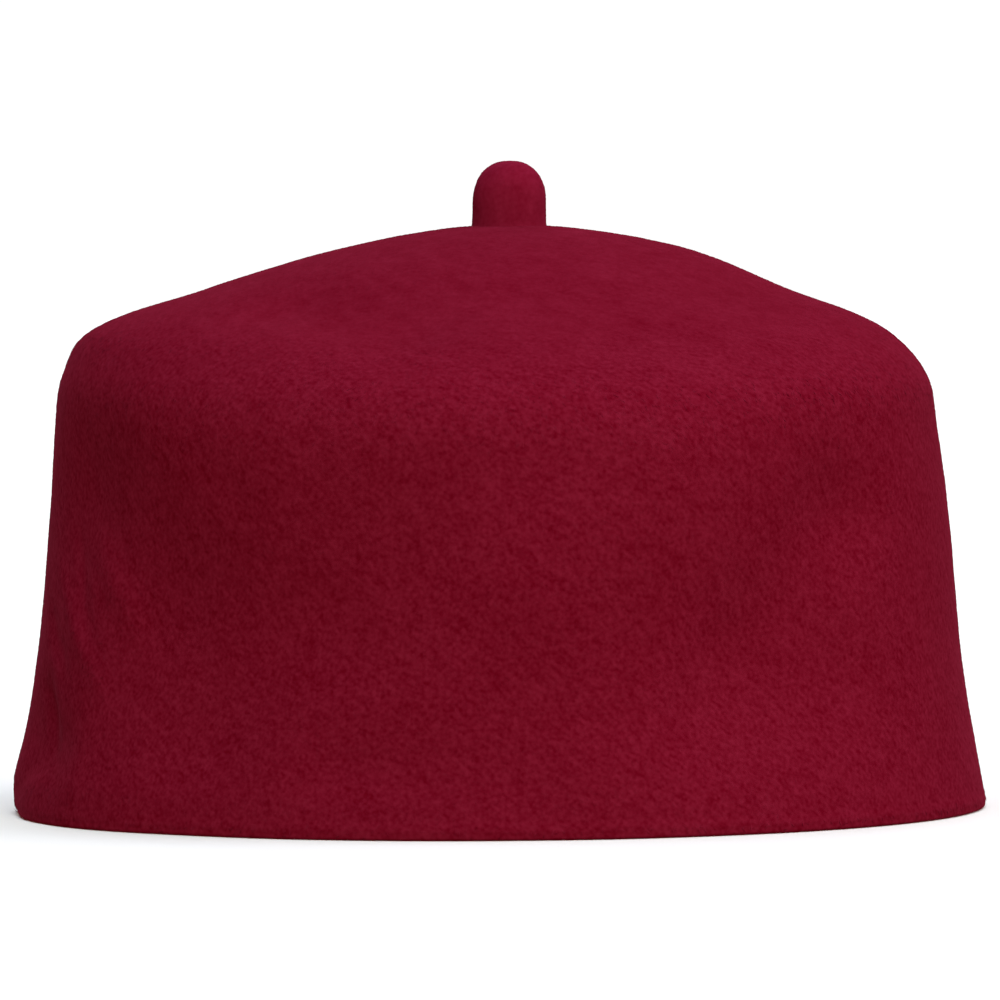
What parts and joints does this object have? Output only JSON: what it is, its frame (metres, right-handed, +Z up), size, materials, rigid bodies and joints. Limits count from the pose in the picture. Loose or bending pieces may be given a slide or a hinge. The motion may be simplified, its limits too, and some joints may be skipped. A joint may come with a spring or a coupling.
{
  "type": "fez hat",
  "caption": "Brimless felt cap with a slightly flaring wall, a low rounded crown and a short round nub on top, hollow and open below for the head.",
  "frame": {"origin": "middle of the rim, level with its underside", "axes": "+Z up through the crown, -Y towards the front, +X to the right as seen from the front"},
  "size_m": [0.1894, 0.1984, 0.1261],
  "materials": {
    "body_felt": "matte crimson wool felt with a short mottled nap",
    "nub_felt": "matte crimson wool felt, slightly smoother"
  },
  "bodies": {
    "root": {"cap_body": "body_felt", "nub": "nub_felt"}
  },
  "joints": []
}
